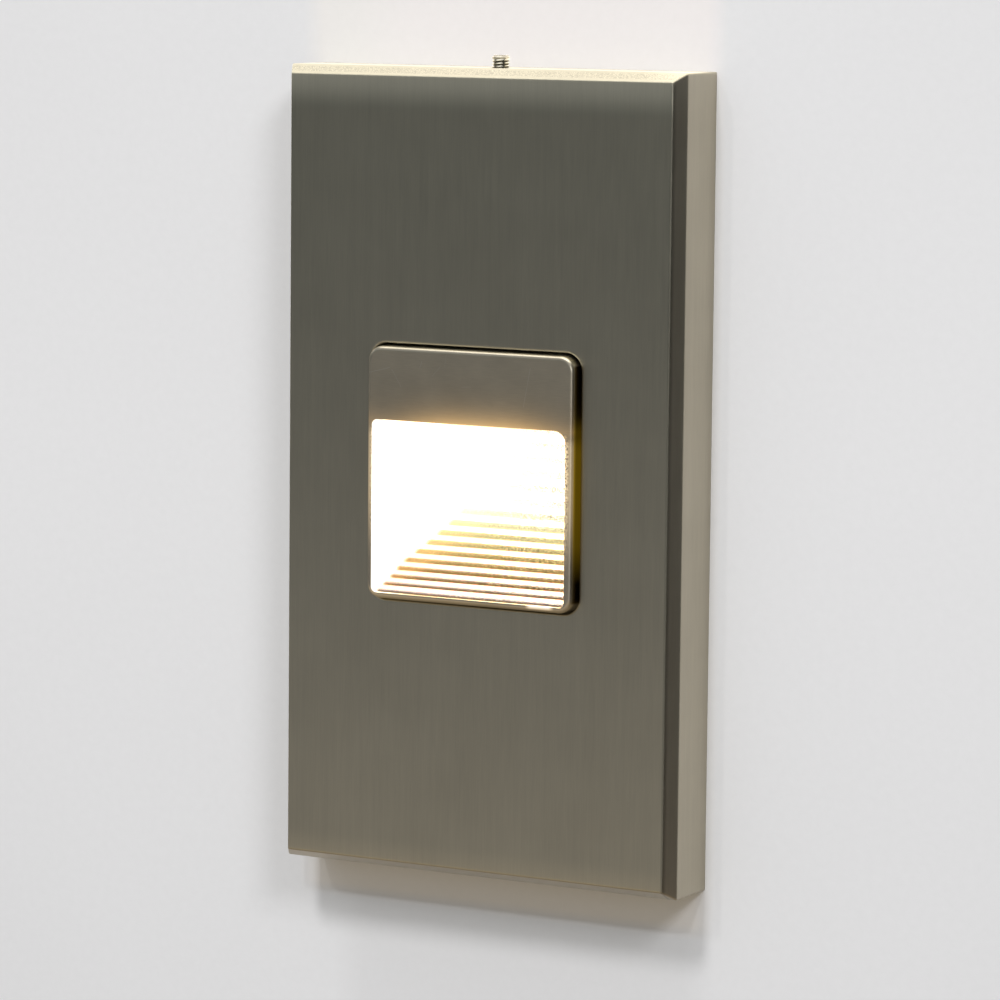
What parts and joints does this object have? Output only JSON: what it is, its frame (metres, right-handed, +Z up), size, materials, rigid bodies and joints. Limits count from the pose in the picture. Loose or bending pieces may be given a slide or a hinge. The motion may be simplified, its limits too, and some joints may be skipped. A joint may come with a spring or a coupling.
{
  "type": "step light",
  "caption": "Recessed step light with a bevelled rectangular metal cover, a proud hooded bezel and a ribbed scoop that throws light down, for a single wall box.",
  "frame": {"origin": "midway between the two box screws, on the face of the wall", "axes": "+Z up, +Y into the wall box, +X to the right as seen from the room"},
  "size_m": [0.074, 0.0608, 0.135],
  "materials": {
    "brushed_nickel": "vertical satin brushing on a cast cover",
    "bezel_nickel": "satin nickel plate with fine scratches",
    "scoop_nickel": "bright satin nickel plate",
    "zinc_steel": "bright zinc plate",
    "screw_steel": "plated steel",
    "ground_green": "green dyed zinc plate",
    "spreader_aluminium": "as cast",
    "frosted_lens": "frosted polycarbonate",
    "silicone": "matt grey silicone",
    "foam": "closed cell foam",
    "grommet_rubber": "matt black",
    "housing_black": "fine moulded texture",
    "lamp_board": "white solder mask",
    "lamp_phosphor": "warm white phosphor",
    "driver_board_green": "green solder mask",
    "lead_red": "wire insulation",
    "ferrite": "sintered ferrite",
    "winding_tape": "polyester tape",
    "capacitor_sleeve": "shrink sleeve",
    "chip_black": "moulded epoxy",
    "terminal_green": "moulded nylon"
  },
  "bodies": {
    "base": {"light_bezel": "bezel_nickel", "scoop_reflector": "scoop_nickel", "lens": "frosted_lens", "lens_gasket": "silicone", "led_board": "lamp_board", "led_chips": "lamp_phosphor", "led_board_screws": "screw_steel", "led_leads": "lead_red", "heat_spreader": "spreader_aluminium", "heat_spreader_screws": "screw_steel", "wall_gasket": "foam", "mounting_frame": "zinc_steel", "box_screws": "screw_steel", "ground_screw": "ground_green", "module_gasket": "silicone", "module_screws": "screw_steel", "driver_housing": "housing_black", "housing_screws": "screw_steel", "rear_gasket": "silicone", "rear_cover": "housing_black", "rear_cover_screws": "screw_steel", "cable_grommet": "grommet_rubber", "driver_board": "driver_board_green", "driver_board_screws": "screw_steel", "transformer_core": "ferrite", "transformer_winding": "winding_tape", "driver_capacitors": "capacitor_sleeve", "driver_chips": "chip_black", "mains_terminal": "terminal_green"},
    "faceplate": {"faceplate": "brushed_nickel"},
    "set_screw": {"set_screw": "screw_steel"}
  },
  "joints": [
    {"name": "faceplate_removal", "type": "slide", "parent": "base", "child": "faceplate", "axis": [0, -1, 0], "range_m": [0, 0.025]},
    {"name": "set_screw_travel", "type": "slide", "parent": "faceplate", "child": "set_screw", "axis": [0, 0, 1], "range_m": [0, 0.003]}
  ]
}
